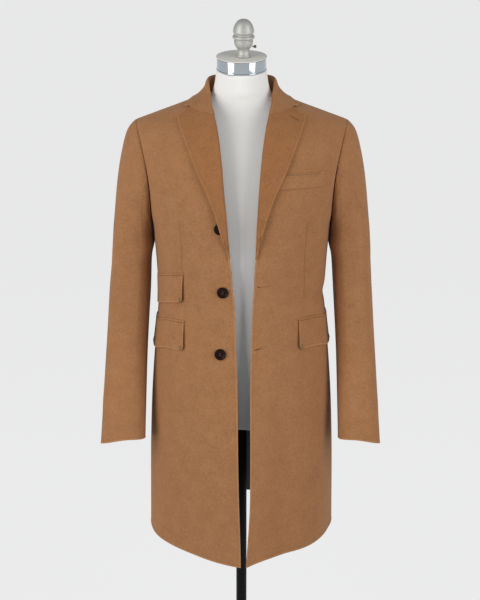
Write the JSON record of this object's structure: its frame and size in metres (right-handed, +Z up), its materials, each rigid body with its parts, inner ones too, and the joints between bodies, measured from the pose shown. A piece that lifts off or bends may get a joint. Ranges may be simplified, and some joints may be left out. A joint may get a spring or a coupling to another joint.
{
  "type": "topcoat on dress form",
  "caption": "Camel wool topcoat with notched lapels, flap pockets, a breast welt and horn buttons, hanging open on a limbless dress form with a neck finial, pole and round base.",
  "frame": {"origin": "centre of the round base's underside, on the floor under the pole", "axes": "+Z up along the pole, the coat's front faces -Y, +X to the wearer's left"},
  "size_m": [0.6208, 0.38, 1.6536],
  "materials": {
    "camel_wool": "soft napped wool, matt",
    "dark_horn": "polished dark horn",
    "cream_jersey": "smooth stretched jersey",
    "chrome": "polished",
    "cream_lacquer": "satin lacquer",
    "pewter": "cast and polished, satin",
    "dark_brass": "dull, darkened",
    "black_enamel": "satin black"
  },
  "bodies": {
    "root": {"front_right": "camel_wool", "front_left": "camel_wool", "back_right": "camel_wool", "back_left": "camel_wool", "sleeve_top_right": "camel_wool", "sleeve_under_right": "camel_wool", "sleeve_top_left": "camel_wool", "sleeve_under_left": "camel_wool", "collar": "camel_wool", "lapel_right": "camel_wool", "lapel_left": "camel_wool", "breast_welt": "camel_wool", "ticket_flap": "camel_wool", "ticket_jet": "camel_wool", "hip_flap_right": "camel_wool", "hip_jet_right": "camel_wool", "hip_flap_left": "camel_wool", "hip_jet_left": "camel_wool", "button_top": "dark_horn", "button_middle": "dark_horn", "button_bottom": "dark_horn", "form_torso": "cream_jersey", "neck_band": "chrome", "neck_cap": "cream_lacquer", "finial": "pewter", "finial_screw": "dark_brass", "pole": "black_enamel", "base": "black_enamel"}
  },
  "joints": []
}
